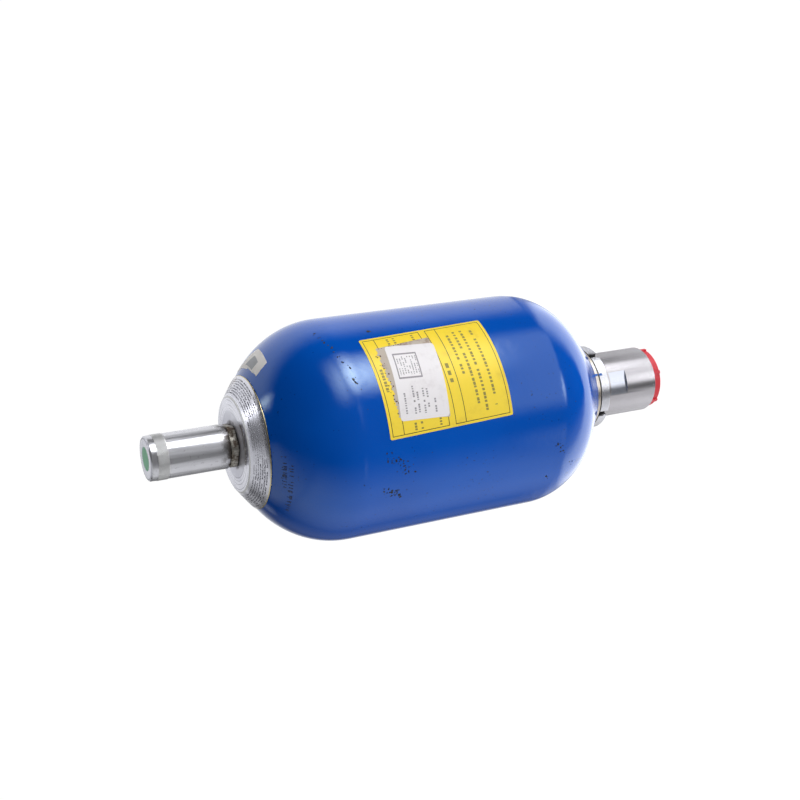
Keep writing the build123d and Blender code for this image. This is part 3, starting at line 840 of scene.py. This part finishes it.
# ---------------------------------------- knurled grip on the cap
def knurl():
    """Diamond knurl on the cap's raised band: alternate points of a fine grid stand proud."""
    around, rows = 200, 18
    band_top, band_bottom = cap_high.z - 5.1 * MM, cap_high.z - 13.2 * MM
    root = cap_high.x + 0.005 * MM
    tooth, sunk = 0.10 * MM, 0.3 * MM
    verts, faces = [], []

    def ring(j, radius_at):
        z = band_bottom + (band_top - band_bottom) * j / rows
        verts.extend(on_axis(radius_at(i), 2 * math.pi * i / around, z) for i in range(around))

    for j in range(rows + 1):
        ring(j, lambda i: root + (tooth if (i + j) % 2 and 0 < j < rows else 0.0))
    for j in range(rows):
        for i in range(around):
            k, n = j * around, (i + 1) % around
            faces.append((k + i, k + n, k + around + n, k + around + i))
    # the sheet's hidden back, and its two edges
    back = len(verts)
    for j in (0, rows):
        ring(j, lambda i: root - sunk)
    top = rows * around
    for i in range(around):
        n = (i + 1) % around
        faces.append((back + n, back + i, back + around + i, back + around + n))
        faces.append((i, back + i, back + n, n))
        faces.append((top + n, back + around + n, back + around + i, top + i))
    finish = plain("knurl_zinc", rgb(210, 210, 210), 0.30, 0.75, 300.0, 0.2, 0.2)
    piece = new_object("knurled_grip", verts, faces, finish)


knurl()


# ---------------------------------------- floor, light and background
FLOOR_SIZE, FLOOR_DROP = 40.0, 0.0002
FLOOR_TONE, FLOOR_GLOW = 0.22, 0.985


def floor():
    """Plain pale floor, which only the camera sees.

    Its own glow brings it so near to white that the part's shadow does not show on it.
    """
    bpy.ops.mesh.primitive_plane_add(size=FLOOR_SIZE, location=(0, 0, -FLOOR_DROP))
    plane = bpy.context.active_object
    plane.name = "floor"
    s = Shader("floor")
    diffuse = s.add("ShaderNodeBsdfDiffuse")
    diffuse.inputs["Color"].default_value = (FLOOR_TONE, FLOOR_TONE, FLOOR_TONE, 1)
    white = s.add("ShaderNodeEmission")
    white.inputs["Strength"].default_value = FLOOR_GLOW
    both = s.add("ShaderNodeAddShader")
    s.put(both.inputs[0], diffuse.outputs[0])
    s.put(both.inputs[1], white.outputs[0])
    s.put(s.out.inputs["Surface"], both.outputs[0])
    plane.data.materials.append(s.material)
    plane.visible_glossy = plane.visible_transmission = False
    plane.visible_diffuse = plane.visible_shadow = False


# What polished surfaces see round the part, in place of the plain background: soft-edged panels in
# a dark room, set to the reflections in the photograph. Each has its azimuth, half width and edge
# in degrees from the facing side, its rise, half height and edge as the direction's Z, and its
# level, where 1 is white.
PANELS = (
    (150, 42, 14, 0.235, 0.765, 0.02, 1.0),  # pale wall behind the part and above it
    (146, 44, 12, -0.60, 0.06, 0.03, 0.56),  # its foot, behind the port
    (-88, 32, 24, -0.2, 0.9, 0.2, 0.78),  # pale table in front of its lower side
    (-138, 16, 12, -0.2, 0.5, 0.2, 0.20),
    (-178, 16, 14, -0.1, 0.9, 0.1, 0.9),
    (-157, 10, 6, 0.45, 0.20, 0.08, 0.8),
    (-55, 17, 8, -0.25, 0.02, 0.05, 0.9),  # what the cap adds to it
    (18, 16, 16, -0.25, 0.02, 0.05, 0.8),
    (51, 7, 23, -0.27, 0.12, 0.14, 14.0),  # window, and its paler ends
    (51, 8, 22, -0.44, 0.04, 0.04, 11.0),
    (46, 8, 24, -0.02, 0.12, 0.18, 5.0),
    (30, 44, 9, -0.57, 0.09, 0.03, 1.2),  # card in front of the port
    (-98, 58, 9, -0.58, 0.07, 0.05, 0.72),
    (180, 24, 14, -0.58, 0.06, 0.04, 0.85),
    (4, 12, 14, -0.655, 0.025, 0.04, 7.5),  # the window once more, on the port's shoulder
    (180, 104, 22, -0.95, 0.34, 0.07, 2.1),  # glow from underneath
    (112, 8, 12, 0.87, 0.035, 0.05, 7.0),  # lamp over the gas end
    (0, 181, 0, 1.0, 0.07, 0.05, 1.5),
    (-115, 50, 40, 0.85, 0.30, 0.15, 0.75),
)
ROOM = 0.005
# the soft light on the part: level, rise towards one side, that side as a direction, and least
SOFT_LEVEL, SOFT_SLOPE, SOFT_TOWARDS = 0.02, 1.95, (0.63, 0.19, -0.75)
SOFT_LEAST = 0.12
PANEL_WHITE, SOFT_WHITE = (0.97, 0.98, 1.0, 1), (0.98, 0.99, 1.0, 1)


def world():
    """White to the camera, a soft gradient that lights the part, and the panels for mirrors."""
    made = bpy.data.worlds.new("studio")
    bpy.context.scene.world = made
    made.use_nodes = True
    made.cycles.sampling_method = "NONE"
    s = Nodes(made.node_tree)
    out = s.add("ShaderNodeOutputWorld")
    path = s.add("ShaderNodeLightPath").outputs
    rotate = s.add("ShaderNodeMapping", vector_type="POINT")
    rotate.inputs["Rotation"].default_value = (0, 0, -FACING)
    s.put(rotate.inputs["Vector"], s.add("ShaderNodeTexCoord").outputs["Generated"])
    direction = rotate.outputs[0]
    x, y, z = s.split(direction)
    azimuth = s.math("DEGREES", s.math("ARCTAN2", y, x))
    seen = ROOM
    for centre, half_width, edge, rise, half_height, rise_edge, level in PANELS:
        turned = s.math("WRAP", s.math("SUBTRACT", azimuth, float(centre)), 180.0, -180.0)
        sideways = s.math("ABSOLUTE", turned)
        across = s.between(sideways, half_width + edge, max(0.0, half_width - edge))
        up = s.between(s.off(z, rise), half_height + rise_edge, half_height - rise_edge)
        panel = s.math("MULTIPLY", across, up)
        seen = s.math("MAXIMUM", seen, s.math("MULTIPLY", panel, level))
    mirror = s.add("ShaderNodeBackground")
    mirror.inputs["Color"].default_value = PANEL_WHITE
    s.put(mirror.inputs["Strength"], seen)
    dot = s.add("ShaderNodeVectorMath", operation="DOT_PRODUCT")
    s.put(dot.inputs[0], direction)
    dot.inputs[1].default_value = SOFT_TOWARDS
    level = s.math("ADD", SOFT_LEVEL, s.math("MULTIPLY", dot.outputs["Value"], SOFT_SLOPE))
    soft = s.add("ShaderNodeBackground")
    soft.inputs["Color"].default_value = SOFT_WHITE
    s.put(soft.inputs["Strength"], s.math("MAXIMUM", level, SOFT_LEAST))
    white = s.add("ShaderNodeBackground")
    white.inputs["Color"].default_value = (1, 1, 1, 1)
    lit = s.add("ShaderNodeMixShader")
    s.put(lit.inputs["Fac"], path["Is Glossy Ray"])
    s.put(lit.inputs[1], soft.outputs[0])
    s.put(lit.inputs[2], mirror.outputs[0])
    shown = s.add("ShaderNodeMixShader")
    clear = s.math("MAXIMUM", path["Is Camera Ray"], path["Is Transmission Ray"])
    s.put(shown.inputs["Fac"], clear)
    s.put(shown.inputs[1], lit.outputs[0])
    s.put(shown.inputs[2], white.outputs[0])
    s.put(out.inputs["Surface"], shown.outputs[0])


# lamps: psi in degrees, distance, height and size in metres, power in watts
LAMPS = (("under", -105.0, 0.60, 0.20, 0.4, 1.3), ("over", 110.0, 0.60, 0.25, 0.4, 1.6))
END_LAMP_HEIGHT, END_LAMP_POWER = 1.6, 20.0


def lamp(name, psi, distance, above, size, power):
    """Soft square light, aimed at the middle of the part and hidden from mirrors."""
    data = bpy.data.lights.new(name, "AREA")
    data.shape, data.size, data.energy = "SQUARE", size, power
    light = bpy.data.objects.new(name, data)
    light.location = on_axis(distance, turn(psi), above)
    aim = Vector((0, 0, (shell_low.z + shell_high.z) / 2)) - light.location
    light.rotation_euler = aim.to_track_quat("-Z", "Y").to_euler()
    light.visible_glossy = False
    bpy.context.scene.collection.objects.link(light)


def end_lamp():
    """Narrow spot along the axis, for the cap's end alone."""
    data = bpy.data.lights.new("end", "SPOT")
    data.energy, data.spot_blend, data.shadow_soft_size = END_LAMP_POWER, 0.2, 0.02
    data.spot_size = 2 * math.atan(1.02 * cap_high.x / (END_LAMP_HEIGHT - cap_high.z))
    light = bpy.data.objects.new("end", data)
    light.location = (0, 0, END_LAMP_HEIGHT)
    light.visible_glossy = False
    bpy.context.scene.collection.objects.link(light)


def camera():
    """The photograph's viewpoint, fitted to its outlines: rolled, with the gas end to the left."""
    out_x, out_y = math.cos(FACING), math.sin(FACING)
    basis = (Vector((out_x, out_y, 0)), Vector((-out_y, out_x, 0)), Vector((0, 0, 1)))

    def world_vector(a, b, c):
        return basis[0] * a + basis[1] * b + basis[2] * c

    right = world_vector(0.40461, -0.16190, -0.90005)
    up = world_vector(0.07901, 0.98671, -0.14198)
    back = world_vector(0.91107, -0.01366, 0.41202)
    place = world_vector(0.8854, 0.0, 0.62205) + Vector((0, 0, PORT_FACE))
    data = bpy.data.cameras.new("camera")
    data.lens, data.sensor_width = 56.26, 36.0
    eye = bpy.data.objects.new("camera", data)
    rows = Matrix((right, up, back)).transposed().to_4x4()
    eye.matrix_world = Matrix.Translation(place) @ rows
    bpy.context.scene.collection.objects.link(eye)
    bpy.context.scene.camera = eye


floor()
world()
for settings in LAMPS:
    lamp(*settings)
end_lamp()
camera()
bpy.context.scene.view_settings.view_transform = "Standard"
